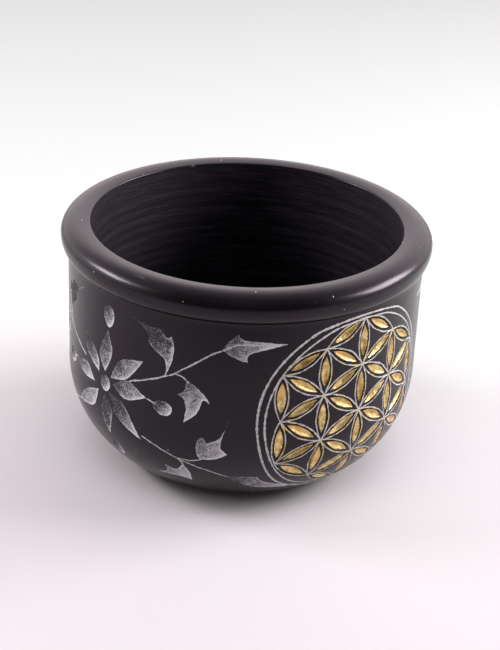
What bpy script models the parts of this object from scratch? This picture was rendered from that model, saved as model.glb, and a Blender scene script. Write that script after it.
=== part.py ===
"""Black clay pot with a rolled rim, two chip-carved medallions and gilded petals.

Metres, +Z up. The origin is the middle of the flat base, and the pot's axis is Z.
Bearings go round the pot from -Y (0 degrees) towards +X (90 degrees).
"""

from math import cos, hypot, pi, radians, sin, sqrt

import bmesh
import bpy
from mathutils import Vector

MM = 0.001

# Driving dimensions of the pot
RIM_RADIUS = 55.0 * MM
HEIGHT = 75.3 * MM
MOUTH_RADIUS = 46.3 * MM
WALL_RADIUS = 52.8 * MM
BASE_RADIUS = 24.0 * MM
FLOOR_THICKNESS = 7.0 * MM

# Facets of the turned shape: round the axis, and along each curve of the section
TURNED_SEGMENTS = 64
CREST_STEPS = 5
UNDER_RIM_STEPS = 3
OUTER_BEND_STEPS = 9
INNER_BEND_STEPS = 6

# Rolled rim, which overhangs the wall
RIM_HEIGHT = 8.2 * MM
CREST_SHARE = 0.35
WIDEST_SHARE = 0.45
RIM_CREST_RADIUS = MOUTH_RADIUS + CREST_SHARE * (RIM_RADIUS - MOUTH_RADIUS)
RIM_WIDEST_Z = HEIGHT - WIDEST_SHARE * RIM_HEIGHT
NECK_Z = HEIGHT - RIM_HEIGHT
LIP_DROP = 0.4 * MM

# Rounded bottom, outside and inside, as quarter ellipses
OUTER_BEND_HEIGHT = 31.7 * MM
INNER_BEND_HEIGHT = 27.0 * MM
INNER_FLOOR_RADIUS = 20.0 * MM

# Medallions: a hexagonal lattice of petals, laid on the wall round a centre
MEDALLION_BEARINGS = (40.5, 220.5)
MEDALLION_Z = 35.2 * MM
LATTICE_PITCH = 14.6 * MM
LATTICE_RINGS = 2
ROW_FALL = 0.04
NEIGHBOUR_REACH = 1.1 * LATTICE_PITCH
WALL_STEP = 0.25 * MM

# Chip-carved petal pockets, and the V-shaped skin of gold that lines the front ones
PETAL_HALF_LENGTH = 4.9 * MM
PETAL_HALF_WIDTH = 1.25 * MM
PETAL_TIP_WIDTH = 0.12
GROOVE_DEPTH = 0.7 * MM
GOLD_THICKNESS = 0.25 * MM
GOLD_SUNK = 0.1 * MM
FIT_GAP = 0.3 * MM
CUTTER_OVERSHOOT = 0.5 * MM
STEPS_ALONG_PETAL = 4


def principled(name, colour, roughness, metallic):
    material = bpy.data.materials.new(name)
    material.use_nodes = True
    shader = material.node_tree.nodes["Principled BSDF"]
    shader.inputs["Base Color"].default_value = (*colour, 1.0)
    shader.inputs["Roughness"].default_value = roughness
    shader.inputs["Metallic"].default_value = metallic
    return material


def clear_scene():
    for old in list(bpy.data.objects):
        bpy.data.objects.remove(old, do_unlink=True)


def new_collection(name):
    collection = bpy.data.collections.new(name)
    bpy.context.scene.collection.children.link(collection)
    return collection


def quarter_arc(centre, radii, start, end, steps):
    """Points of an ellipse from start to end degrees, as (radius, height)."""
    turns = [radians(start + (end - start) * i / steps) for i in range(steps + 1)]
    return [(centre[0] + radii[0] * cos(t), centre[1] + radii[1] * sin(t)) for t in turns]


def wall_section(z):
    """Radius of the outer wall at height z, and how far its normal leans up."""
    if z >= OUTER_BEND_HEIGHT:
        return WALL_RADIUS, 0.0
    reach = WALL_RADIUS - BASE_RADIUS
    drop = (OUTER_BEND_HEIGHT - z) / OUTER_BEND_HEIGHT
    across = sqrt(1.0 - drop * drop)
    normal = Vector((across / reach, -drop / OUTER_BEND_HEIGHT)).normalized()
    return BASE_RADIUS + reach * across, normal.y


def height_below(z, distance):
    """Height reached by going the given distance down the wall from height z."""
    travelled = 0.0
    sense = 1.0 if distance >= 0 else -1.0
    while travelled < abs(distance):
        lean = wall_section(z)[1]
        part = min(WALL_STEP, abs(distance) - travelled)
        z -= sense * part * sqrt(1.0 - lean * lean)
        travelled += part
    return z


def on_wall(bearing, across, down, lift):
    """Point of the wall at a place measured along it from a medallion's centre."""
    z = height_below(MEDALLION_Z, down)
    radius, lean = wall_section(z)
    turn = radians(bearing) + across / radius
    level = sqrt(1.0 - lean * lean)
    out = radius + lift * level
    return Vector((out * sin(turn), -out * cos(turn), z + lift * lean))


def lattice_points():
    """Places of the lattice, as (across, down), in a hexagon round (0, 0).

    The rows fall a little towards one side, as they were set out by hand.
    """
    found = []
    for column in range(-LATTICE_RINGS, LATTICE_RINGS + 1):
        count = 2 * LATTICE_RINGS + 1 - abs(column)
        across = column * LATTICE_PITCH * sqrt(3) / 2
        for row in range(count):
            down = (row - (count - 1) / 2) * LATTICE_PITCH
            found.append((across, down + ROW_FALL * across))
    return found


def petal_places():
    """Middle and direction of each petal: one on every edge of the lattice."""
    points = lattice_points()
    places = []
    for i, a in enumerate(points):
        for b in points[i + 1 :]:
            span = hypot(b[0] - a[0], b[1] - a[1])
            if span < NEIGHBOUR_REACH:
                middle = ((a[0] + b[0]) / 2, (a[1] + b[1]) / 2)
                places.append((middle, ((b[0] - a[0]) / span, (b[1] - a[1]) / span)))
    return places


def petal_width(along):
    """Half-width of a petal as a share of its widest, from tip -1 to tip 1."""
    return max(1.0 - along * along, PETAL_TIP_WIDTH)


def groove_depth(along, side):
    """Depth of the V groove, deepest on the middle line and halfway along."""
    return GROOVE_DEPTH * petal_width(along) * (1.0 - abs(side))


def petal_block(shape, seat, half_size, bottom, top):
    """Closed petal solid on the wall, between the lifts given by bottom and top.

    A seat is a medallion's bearing with a petal's middle and direction on it.
    """
    bearing, (middle, way) = seat
    grid = bmesh.ops.create_grid(shape, x_segments=STEPS_ALONG_PETAL, y_segments=2, size=1.0)
    lower = grid["verts"]
    faces = list({face for vertex in lower for face in vertex.link_faces})
    raised = bmesh.ops.extrude_face_region(shape, geom=faces, use_keep_orig=True)
    upper = [item for item in raised["geom"] if isinstance(item, bmesh.types.BMVert)]
    for vertices, lift in ((lower, bottom), (upper, top)):
        for vertex in vertices:
            along, side = vertex.co.x, vertex.co.y
            forward = along * half_size[0]
            sideways = side * half_size[1] * petal_width(along)
            across = middle[0] + way[0] * forward - way[1] * sideways
            down = middle[1] + way[1] * forward + way[0] * sideways
            vertex.co = on_wall(bearing, across, down, lift(along, side))


def pot_profile():
    """Section of the pot: inner floor, up the inside, over the rim, down to the base."""
    inner_reach = MOUTH_RADIUS - INNER_FLOOR_RADIUS
    inner_radii = (inner_reach, INNER_BEND_HEIGHT)
    inner_centre = (INNER_FLOOR_RADIUS, FLOOR_THICKNESS + INNER_BEND_HEIGHT)
    inner = quarter_arc(inner_centre, inner_radii, -90, 0, INNER_BEND_STEPS)
    lip = [(MOUTH_RADIUS, HEIGHT - LIP_DROP)]
    crest_centre = (RIM_CREST_RADIUS, RIM_WIDEST_Z)
    crest_radii = (RIM_RADIUS - RIM_CREST_RADIUS, HEIGHT - RIM_WIDEST_Z)
    crest = quarter_arc(crest_centre, crest_radii, 90, 0, CREST_STEPS)
    under_radii = (RIM_RADIUS - WALL_RADIUS, RIM_WIDEST_Z - NECK_Z)
    under = quarter_arc((WALL_RADIUS, RIM_WIDEST_Z), under_radii, 0, -90, UNDER_RIM_STEPS)[1:]
    outer_radii = (WALL_RADIUS - BASE_RADIUS, OUTER_BEND_HEIGHT)
    outer_centre = (BASE_RADIUS, OUTER_BEND_HEIGHT)
    outer = quarter_arc(outer_centre, outer_radii, 0, -90, OUTER_BEND_STEPS)
    return [(0.0, FLOOR_THICKNESS), *inner, *lip, *crest, *under, *outer, (0.0, 0.0)]


def turned_pot(collection):
    """The thrown clay body: the section swept once round the axis."""
    points = pot_profile()
    mesh = bpy.data.meshes.new("pot_body")
    edges = [(i, i + 1) for i in range(len(points) - 1)]
    mesh.from_pydata([(r, 0.0, z) for r, z in points], edges, [])
    pot = bpy.data.objects.new("pot_body", mesh)
    collection.objects.link(pot)
    screw = pot.modifiers.new("turn", "SCREW")
    screw.axis = "Z"
    screw.angle = 2 * pi
    screw.steps = TURNED_SEGMENTS
    screw.render_steps = TURNED_SEGMENTS
    screw.use_merge_vertices = True
    screw.merge_threshold = 0.01 * MM
    return pot


def pocket_cutters(collection):
    """All pockets as one cutter, larger than the gold by the fit gap all round."""
    half_size = (PETAL_HALF_LENGTH + FIT_GAP, PETAL_HALF_WIDTH + FIT_GAP)
    floor = GOLD_SUNK + GOLD_THICKNESS + FIT_GAP
    shape = bmesh.new()
    for bearing in MEDALLION_BEARINGS:
        for place in petal_places():
            petal_block(
                shape,
                (bearing, place),
                half_size,
                bottom=lambda along, side: -floor - groove_depth(along, side),
                top=lambda along, side: CUTTER_OVERSHOOT,
            )
    cutter = mesh_object("pocket_cutters", shape, collection)
    cutter.hide_render = True
    cutter.display_type = "WIRE"
    return cutter


def mesh_object(name, shape, collection):
    """Object made from a bmesh, with its faces turned outwards."""
    bmesh.ops.recalc_face_normals(shape, faces=shape.faces)
    mesh = bpy.data.meshes.new(name)
    shape.to_mesh(mesh)
    shape.free()
    made = bpy.data.objects.new(name, mesh)
    collection.objects.link(made)
    return made


def carve(pot, cutter):
    cut = pot.modifiers.new("chip_carving", "BOOLEAN")
    cut.operation = "DIFFERENCE"
    cut.solver = "EXACT"
    cut.object = cutter


def gold_petal(name, seat, collection):
    """A V-shaped skin of gold that lines one pocket."""
    shape = bmesh.new()
    petal_block(
        shape,
        seat,
        (PETAL_HALF_LENGTH, PETAL_HALF_WIDTH),
        bottom=lambda along, side: -GOLD_SUNK - GOLD_THICKNESS - groove_depth(along, side),
        top=lambda along, side: -GOLD_SUNK - groove_depth(along, side),
    )
    return mesh_object(name, shape, collection)


def build():
    clear_scene()
    pot_parts = new_collection("black_clay_pot")
    cutters = new_collection("cutters")
    clay = principled("burnished_black_clay", (0.017, 0.015, 0.017), 0.32, 0.0)
    gold = principled("gold_fill", (0.66, 0.45, 0.14), 0.38, 0.85)

    pot = turned_pot(pot_parts)
    pot.data.materials.append(clay)
    carve(pot, pocket_cutters(cutters))

    for number, place in enumerate(petal_places(), start=1):
        seat = (MEDALLION_BEARINGS[0], place)
        petal = gold_petal(f"gold_petal_{number:02d}", seat, pot_parts)
        petal.data.materials.append(gold)


build()
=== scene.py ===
# A small black clay pot: a turned, burnished body with scribed lines, frosted flowers
# and sprigs, and medallions of gilded petals cut into the wall.
#
# Places on the wall are in millimetres: across goes round the pot, down goes from the neck.
# The whole skin is drawn as one flat sheet, and a node tree turns that sheet into the pot.

import bisect
import math

import bpy
from mathutils import Matrix, Vector, kdtree, noise
from mathutils.geometry import delaunay_2d_cdt


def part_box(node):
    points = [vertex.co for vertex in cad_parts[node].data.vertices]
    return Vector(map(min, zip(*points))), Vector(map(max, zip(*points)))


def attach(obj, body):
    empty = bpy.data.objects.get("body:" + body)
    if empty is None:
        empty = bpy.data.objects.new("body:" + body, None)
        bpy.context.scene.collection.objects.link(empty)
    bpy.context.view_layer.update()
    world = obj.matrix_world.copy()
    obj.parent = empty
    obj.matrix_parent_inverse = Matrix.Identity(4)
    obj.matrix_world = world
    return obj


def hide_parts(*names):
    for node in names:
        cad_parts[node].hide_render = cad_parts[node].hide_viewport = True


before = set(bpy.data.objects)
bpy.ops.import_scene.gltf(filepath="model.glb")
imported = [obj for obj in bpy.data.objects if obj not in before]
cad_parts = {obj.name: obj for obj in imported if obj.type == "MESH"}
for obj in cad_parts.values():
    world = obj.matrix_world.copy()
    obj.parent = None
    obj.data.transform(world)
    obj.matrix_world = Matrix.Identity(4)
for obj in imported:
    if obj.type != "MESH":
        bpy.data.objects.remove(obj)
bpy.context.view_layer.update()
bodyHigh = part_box("pot_body")[1]
goldNodes = sorted(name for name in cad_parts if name.startswith("gold_petal"))
mm = 0.001
print("frame loaded:", len(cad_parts), "nodes")


# The pot's section.

potShape = {
    "rimRadius": bodyHigh.x / mm,
    "height": bodyHigh.z / mm,
    "mouthRadius": 46.3,
    "wallRadius": 52.8,
    "baseRadius": 24.0,
    "floorThickness": 7.0,
    "rimHeight": 8.2,
    "crestShare": 0.35,       # where the rim is highest, from its inner edge
    "widestShare": 0.45,      # where the rim is widest, from its top
    "lipDrop": 0.4,
    "lipRadius": 0.5,
    "beadHeight": 0.07,       # the fine bead under the rim, and its section
    "beadSection": ((-0.2, 0.10), (0.1, 0.20), (0.6, 0.32), (1.0, 0.46), (0.9, 0.58), (0.35, 0.72)),
    "neckHeight": 0.85,
    "outerBend": 31.7,
    "innerBend": 27.0,
    "innerFloorRadius": 20.0,
    "throwingRidges": 0.07,   # height of the ridges left inside by the fingers
    "ridgeWaves": ((1.9, 1.0, 0.0), (0.83, 0.6, 1.0)),     # each wave's rate, share and start
    "ridgeMargin": 6.0,       # this much stays plain at the bottom and at the top
    "ridgeFade": (8.0, 4.0),  # over which the ridges rise from the bottom and sink at the top
    "columns": 216,           # facets round the pot
}

# about how long a facet of each part of the section is
facetSteps = {
    "floor": 2.0, "inside": 1.0, "insideWall": 0.9, "lip": 0.12, "crest": 0.45, "under": 0.35,
    "wall": 1.2, "bend": 0.8, "base": 2.5,
}


def ellipseArc(centre, radii, start, end, step):
    # points from start to end degrees, about step apart
    count = max(3, round(abs(math.radians(end - start)) * max(radii) / step))
    turns = [math.radians(start + (end - start) * i / count) for i in range(count + 1)]
    return [(centre[0] + radii[0] * math.cos(t), centre[1] + radii[1] * math.sin(t)) for t in turns]


def straight(start, end, step):
    count = max(1, round(math.dist(start, end) / step))
    return [
        (start[0] + (end[0] - start[0]) * i / count, start[1] + (end[1] - start[1]) * i / count)
        for i in range(count + 1)
    ]


def ridge(radius, height):
    # throwing ridges: a slow, uneven ripple up the inside wall
    p = potShape
    low, high = p["floorThickness"] + p["ridgeMargin"], p["height"] - p["ridgeMargin"]
    fade = max(0.0, min(1.0, (height - low) / p["ridgeFade"][0], (high - height) / p["ridgeFade"][1]))
    wave = sum(share * math.sin(height * rate + start) for rate, share, start in p["ridgeWaves"])
    return radius + fade * wave * p["throwingRidges"]


def potSection():
    # (radius, height) from the middle of the floor inside, over the rim, to the middle of the base
    p, step = potShape, facetSteps
    mouth, wide, top = p["mouthRadius"], p["wallRadius"], p["height"]
    flat, thick, lip = p["innerFloorRadius"], p["floorThickness"], p["lipRadius"]
    crestRadius = mouth + p["crestShare"] * (p["rimRadius"] - mouth)
    widest = top - p["widestShare"] * p["rimHeight"]
    neck = top - p["rimHeight"]
    shoulder = neck - p["neckHeight"]
    lipFoot = top - p["lipDrop"] - lip
    innerMiddle = (flat, thick + p["innerBend"])
    inner = ellipseArc(innerMiddle, (mouth - flat, p["innerBend"]), -90, 0, step["inside"])
    inner += straight(inner[-1], (mouth, lipFoot), step["insideWall"])[1:]
    lipArc = ellipseArc((mouth + lip, lipFoot), (lip, lip), 180, 100, step["lip"])
    crestRadii = (p["rimRadius"] - crestRadius, top - widest)
    crest = ellipseArc((crestRadius, widest), crestRadii, 90, 0, step["crest"])
    under = ellipseArc((wide, widest), (p["rimRadius"] - wide, widest - neck), 0, -90, step["under"])
    bead = [(wide + share * p["beadHeight"], neck - drop) for share, drop in p["beadSection"]]
    bendRadii = (wide - p["baseRadius"], p["outerBend"])
    bend = ellipseArc((p["baseRadius"], p["outerBend"]), bendRadii, 0, -90, step["bend"])
    floor = straight((0.0, thick), (flat, thick), step["floor"])
    return {
        "inside": floor[:-1] + [(ridge(r, z), z) for r, z in inner],
        "rim": lipArc[1:] + crest + under[1:] + bead + [(wide, shoulder)],
        "wall": straight((wide, shoulder), (wide, p["outerBend"]), step["wall"])[1:] + bend[1:],
        "base": straight((p["baseRadius"], 0.0), (0.0, 0.0), step["base"])[1:],
    }


section = potSection()
sectionPoints = section["inside"] + section["rim"] + section["wall"] + section["base"]
sectionRuns = [0.0]
for before, after in zip(sectionPoints, sectionPoints[1:]):
    sectionRuns.append(sectionRuns[-1] + math.dist(before, after))
insideCount = len(section["inside"])
neckIndex = insideCount + len(section["rim"]) - 1
neckRun = sectionRuns[neckIndex]      # distance along the section down to the neck
circumference = 2 * math.pi * potShape["wallRadius"]


def radiusAt(down):
    # radius of the outer wall, a distance down from the neck
    run = neckRun + down
    high = bisect.bisect_right(sectionRuns, run, neckIndex + 1, len(sectionRuns) - 1)
    share = (run - sectionRuns[high - 1]) / (sectionRuns[high] - sectionRuns[high - 1])
    start, end = sectionPoints[high - 1][0], sectionPoints[high][0]
    return start + share * (end - start)


def onSheet(centre, across, down):
    # a place measured along the real wall from a motif's centre, as a place on the flat sheet
    depth = centre[1] + down - potShape["neckHeight"]
    return centre[0] + across * potShape["wallRadius"] / radiusAt(depth), depth


# The drawing on the wall.

burnished, scratched, cut, inside = range(4)     # the finishes of the clay
marks = []       # what is drawn: its points as (x, y, lift, frost and painted light, gilt), and chains of them
grooves = []     # every scribed line as (path, half-widths)
shapes = []      # every closed outline as (outline, finish)


def addMark(points, chains):
    marks.append({"points": points, "chains": chains})


def handNoise(place, scale, seed):
    return noise.noise(Vector((place[0] / scale, place[1] / scale, seed * 7.3)))


def nearTree(places):
    # finds the nearest of many places
    tree = kdtree.KDTree(len(places))
    for i, (x, y) in enumerate(places):
        tree.insert((x, y, 0.0), i)
    tree.balance()
    return tree


scribing = {
    "depth": 0.13,
    "step": 0.75,
    "wander": 0.20,        # how far the hand strays, and over what length
    "wanderLength": 2.5,
    "ragged": 0.84,        # how much the width changes, and over what length
    "raggedLength": 0.9,
    "fullWidth": 0.22,     # half-width at which a line reaches its full depth
    "frostAndPaintedLight": 0.72,
}


def scribe(path, halfWidth, gilt=0.0, seed=1, steady=False):
    # a V-shaped scratch along a path of sheet places
    s = scribing
    count = len(path)
    middles, widths = [], []
    for i, place in enumerate(path):
        before, after = path[max(i - 1, 0)], path[min(i + 1, count - 1)]
        along = Vector((after[0] - before[0], after[1] - before[1])).normalized()
        side = Vector((-along.y, along.x))
        loose = 0.0 if steady or i in (0, count - 1) else s["wander"]
        stray = loose * handNoise(place, s["wanderLength"], seed)
        middles.append((place[0] + side.x * stray, place[1] + side.y * stray, side))
        taper = halfWidth[i] if isinstance(halfWidth, list) else halfWidth
        widths.append(taper * (1.0 + s["ragged"] * handNoise(place, s["raggedLength"], seed + 40)))
    points = []
    for (x, y, side), width in zip(middles, widths):
        depth = -s["depth"] * min(1.0, width / s["fullWidth"])
        for reach, lift in ((-width, 0.0), (0.0, depth), (width, 0.0)):
            points.append((x + side.x * reach, y + side.y * reach, lift, s["frostAndPaintedLight"], gilt))
    addMark(points, [list(range(row, 3 * count, 3)) for row in range(3)])
    grooves.append(([(x, y) for x, y, side in middles], widths))


def smoothPath(points, step=None):
    # a curve through the points, with about one place a step (Catmull-Rom)
    step = step or scribing["step"]
    padded = [points[0]] + list(points) + [points[-1]]
    path = []
    for p0, p1, p2, p3 in zip(padded, padded[1:], padded[2:], padded[3:]):
        count = max(1, round(math.dist(p1, p2) / step))
        for i in range(count):
            t = i / count
            path.append(tuple(
                0.5 * (2 * b + (c - a) * t + (2 * a - 5 * b + 4 * c - d) * t * t
                       + (3 * b - a - 3 * c + d) * t ** 3)
                for a, b, c, d in zip(p0, p1, p2, p3)
            ))
    return path + [tuple(points[-1])]


# Medallions.

medallionWork = {
    "pitch": 14.6,          # from one crossing of the lines to the next
    "rings": 2,
    "rowFall": 0.04,        # the rows fall a little towards +X, set out by hand
    "lineHalfWidth": 0.19,
    "lensBulge": 0.134,     # of the pitch: a sixth of a circle
    "pocketLength": 5.35,
    "pocketWidth": 1.52,
    "pocketInset": 0.09,
    "pocketEdge": 0.35,
    "pocketKeel": 0.95,
    "pocketSteps": 14,
    # each ring round it: how far off the middle, its radius and its line's half-width
    "bandRings": [((-0.3, -0.3), 29.2, 0.21), ((-0.7, -0.4), 31.3, 0.26)],
    "ringSway": 0.35,
    "ringHeavier": 0.25,     # how much wider the rings' line is on the left
    "ringTop": -28.0,        # above this the rings are squeezed under the rim
    "ringSqueeze": 0.4,
    "down": 31.9,            # the middle, from the neck
    # share of each line that gold paint spilled on: lower lines, upper lines, rings
    "spills": (1.0, 0.25, 0.1),
}


def goldCentre():
    # the middle of the gilded medallion, from the gold pieces of the frame
    boxes = [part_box(name) for name in goldNodes]
    middle = sum(((low + high) / 2 for low, high in boxes), Vector()) / len(boxes)
    return math.atan2(middle.x, -middle.y)


medallionCentres = [
    (bearing * potShape["wallRadius"], medallionWork["down"])
    for bearing in (goldCentre(), goldCentre() + math.pi)
]


def latticePoints():
    m = medallionWork
    found = []
    for column in range(-m["rings"], m["rings"] + 1):
        count = 2 * m["rings"] + 1 - abs(column)
        across = column * m["pitch"] * math.sqrt(3) / 2
        for row in range(count):
            found.append((across, (row - (count - 1) / 2) * m["pitch"] + m["rowFall"] * across))
    return found


def latticeEdges():
    points = latticePoints()
    reach = 1.1 * medallionWork["pitch"]
    return [
        (points[i], points[j])
        for i in range(len(points))
        for j in range(i + 1, len(points))
        if math.dist(points[i], points[j]) < reach
    ]


def spanAndWay(a, b):
    span = math.dist(a, b)
    return span, ((b[0] - a[0]) / span, (b[1] - a[1]) / span)


def drawLens(centre, a, b, seed):
    # the two arcs that meet at crossings a and b
    m = medallionWork
    span, way = spanAndWay(a, b)
    count = round(span / scribing["step"])
    for sense in (-1, 1):
        bulge = sense * m["lensBulge"] * span
        normal = (-way[1] * bulge, way[0] * bulge)
        path = []
        for i in range(count + 1):
            t = i / count
            swell = 4 * t * (1 - t)
            path.append(onSheet(centre, *(
                start + part * span * t + push * swell for start, part, push in zip(a, way, normal))))
        spill = m["spills"][0 if normal[1] + 0.5 * normal[0] > 0 else 1]
        scribe(path, m["lineHalfWidth"], gilt=spill, seed=seed + sense)


def cutPocket(centre, a, b):
    # a boat-shaped pocket between crossings a and b
    m = medallionWork
    way = spanAndWay(a, b)[1]
    middle = ((a[0] + b[0]) / 2, (a[1] + b[1]) / 2)
    steps = m["pocketSteps"]

    def rim(side, inset, lift):
        # one long edge of the pocket, from tip to tip
        edge = []
        for i in range(steps + 1):
            t = -math.cos(math.pi * i / steps)
            share = 1.0 - t * t
            length = t * (m["pocketLength"] - 2.0 * inset)
            width = side * max(0.0, m["pocketWidth"] * share - inset)
            across = middle[0] + way[0] * length - way[1] * width
            down = middle[1] + way[1] * length + way[0] * width
            x, y = onSheet(centre, across, down)
            edge.append((x, y, lift(share), 0.0, 0.0))
        return edge

    points, chains = [], []
    for inset, lift in ((0.0, 0.0), (m["pocketInset"], -m["pocketEdge"])):
        loop = rim(-1, inset, lambda share: lift) + rim(1, inset, lambda share: lift)[-2:0:-1]
        start = len(points)
        points += loop
        chains.append(list(range(start, len(points))) + [start])
        if inset == 0.0:
            shapes.append(([(q[0], q[1]) for q in loop], cut))
    keel = rim(0, m["pocketInset"], lambda share: -m["pocketEdge"] - m["pocketKeel"] * share)[1:-1]
    start = len(points)
    points += keel
    chains.append(list(range(start, len(points))))
    addMark(points, chains)


def drawMedallion(centre, seed):
    m = medallionWork
    for number, (a, b) in enumerate(latticeEdges()):
        drawLens(centre, a, b, seed + 3 * number)
        cutPocket(centre, a, b)
    for (offX, offY), radius, halfWidth in m["bandRings"]:
        count = round(2 * math.pi * radius / scribing["step"])
        path = []
        for i in range(count + 1):
            turn = 2 * math.pi * (i % count) / count
            sway = noise.noise(Vector((math.cos(turn) * 1.4, math.sin(turn) * 1.4, radius)))
            swayed = radius + m["ringSway"] * sway
            down = offY + swayed * math.sin(turn)
            down += m["ringSqueeze"] * max(0.0, m["ringTop"] - down)
            path.append(onSheet(centre, offX + swayed * math.cos(turn), down))
        widths = [halfWidth * (1.0 + m["ringHeavier"] * (p[0] < centre[0])) for p in path]
        scribe(path, widths, gilt=m["spills"][2], seed=seed + 90, steady=True)


# Flowers and sprigs, right of a flower's centre; the left ones are their mirror.

flowerCentres = [(-43.3 + turned, 29.4) for turned in (0.0, circumference / 2)]

# each petal: base, one flank, tip, other flank, and how much paler it was rubbed
flowerPetals = [
    ((0.2, -3.6), (-2.4, -9.0), (1.5, -17.6), (3.2, -10.6), -0.06),
    ((2.6, -2.5), (6.8, -9.8), (15.0, -12.2), (9.1, -4.7), 0.08),
    ((3.6, -0.9), (9.6, -4.2), (16.0, -0.9), (8.7, 2.0), 0.04),
    ((1.9, 2.5), (8.3, 4.4), (13.8, 14.0), (5.2, 9.0), -0.03),
    ((-0.1, 3.7), (-1.7, 9.8), (0.3, 17.8), (3.2, 8.6), -0.14),
    ((-3.0, 3.5), (-9.9, 6.6), (-16.6, 13.4), (-6.2, 10.4), 0.10),
    ((-5.1, 1.8), (-9.4, -2.4), (-17.2, -0.3), (-11.0, 2.2), 0.10),
    ((-2.7, -2.4), (-3.6, -7.6), (-10.9, -13.6), (-9.0, -6.4), -0.12),
]

# buds: centre, half-width, half-height, and the way that the point looks
flowerBuds = [
    ((0.2, 0.1), 2.1, 2.6, None),
    ((1.9, -22.3), 2.2, 2.9, (0.0, 1.0)),
    ((21.8, 0.7), 2.6, 2.3, (-1.0, -0.2)),
    ((1.2, 23.6), 2.2, 2.8, (0.0, -1.0)),
    ((-21.5, 0.7), 2.6, 2.3, (1.0, -0.2)),
]

sprigStems = [
    [(10.1, -4.3), (19.6, -8.5), (24.9, -11.2), (29.3, -14.5), (34.6, -18.4), (38.3, -20.5)],
    [(24.9, -11.2), (27.4, -10.7), (29.1, -9.3)],
    [(22.0, -9.8), (22.9, -12.6), (24.0, -16.4)],
    [(14.2, 12.2), (18.9, 14.2), (24.5, 16.8), (31.8, 19.8), (38.3, 22.6)],
    [(24.5, 16.8), (28.8, 16.9), (32.6, 15.4)],
    [(24.5, 16.8), (25.7, 18.2), (26.3, 20.4)],
]

# how much paler each leaf was rubbed
leafTones = [-0.24, 0.24, 0.18, 0.12, 0.16, 0.16]

# each leaf as its sides, which meet at its corners; the first corner is at the stem
sprigLeaves = [
    [[(22.5, -10.9), (24.0, -14.6), (24.7, -18.6), (23.9, -22.4)],
     [(23.9, -22.4), (22.3, -21.7), (20.0, -24.0), (16.2, -23.8), (11.4, -25.4)],
     [(11.4, -25.4), (15.6, -22.6), (17.0, -20.6), (16.6, -19.2), (18.6, -17.0), (21.7, -15.1),
      (22.5, -10.9)]],
    [[(28.6, -10.0), (31.4, -8.2), (33.8, -5.9), (35.5, -3.6)],
     [(35.5, -3.6), (33.3, -4.2), (31.8, 0.0), (28.0, 3.6)],
     [(28.0, 3.6), (28.6, -1.0), (27.9, -3.8), (26.0, -4.8)],
     [(26.0, -4.8), (28.0, -6.6), (28.6, -10.0)]],
    [[(38.3, -20.6), (40.2, -23.6), (42.8, -25.9)],
     [(42.8, -25.9), (44.0, -24.2), (50.0, -23.5), (56.3, -22.8)],
     [(56.3, -22.8), (50.0, -21.2), (45.7, -19.7), (45.4, -17.2)],
     [(45.4, -17.2), (41.6, -18.6), (38.3, -20.6)]],
    [[(31.8, 15.7), (31.4, 12.4), (32.0, 8.8), (33.6, 7.6), (34.6, 9.4)],
     [(34.6, 9.4), (38.6, 7.0), (41.2, 0.8)],
     [(41.2, 0.8), (39.4, 6.2), (38.6, 10.4), (40.3, 12.6)],
     [(40.3, 12.6), (36.5, 14.8), (31.8, 15.7)]],
    [[(25.9, 19.2), (26.8, 22.6), (25.6, 27.2)],
     [(25.6, 27.2), (21.6, 26.4), (13.9, 27.6)],
     [(13.9, 27.6), (18.8, 24.8), (19.6, 21.4)],
     [(19.6, 21.4), (22.6, 22.6), (25.9, 19.2)]],
    [[(38.0, 22.5), (41.4, 22.0), (46.6, 22.2)],
     [(46.6, 22.2), (47.0, 24.6), (50.6, 27.6), (55.7, 30.0)],
     [(55.7, 30.0), (48.8, 29.9), (43.1, 28.9), (40.1, 26.0), (38.0, 22.5)]],
]

petalTail = [(16.0, -0.9), (17.6, -0.6), (19.2, -0.1)]

leafRibs = [
    [(38.4, -20.6), (42.6, -22.6), (50.0, -22.7), (56.0, -22.8)],
    [(22.4, -11.0), (23.6, -15.0), (23.9, -19.0)],
]

frosting = {
    "depth": 0.09,
    "pecking": (0.6, 0.8),   # middling share of that depth, and how far a mark strays from it
    "pitch": 0.62,           # between the marks of the stippling point
    "stray": 0.15,           # of each mark from its row
    "clearance": 0.38,       # of the marks from the outline
    "outlineStep": 0.6,
    "ragged": 0.24,          # how much the outline strays
    "level": 0.27,           # how pale the middle is
    "light": (0.78, 0.62),   # the way of the painted light, across and down: that side of each shape is painted palest
    "paintedLightShare": 0.42,
    "rimWidth": 0.9,         # the outline is painted paler than the middle, over this width
    "rimPaleAndPaintedLight": (0.28, 0.24),    # everywhere, and more towards the light as a painted highlight
    "patch": 0.22,
    "patchSize": 1.5,
    "stemHalfWidth": 0.22,
    "stemTip": (0.45, 0.4),  # share of that at a stem's ends, and what each step adds
    "ribShare": 0.6,         # of a stem's width
    "budTone": 0.04,
    "budPoints": 18,
    "budPull": 0.35,         # how far a bud is drawn out to its point
}


def insideOutline(place, outline):
    x, y = place
    within = False
    for (x1, y1), (x2, y2) in zip(outline, outline[1:] + outline[:1]):
        if (y1 > y) != (y2 > y) and x < (x2 - x1) * (y - y1) / (y2 - y1) + x1:
            within = not within
    return within


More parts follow.
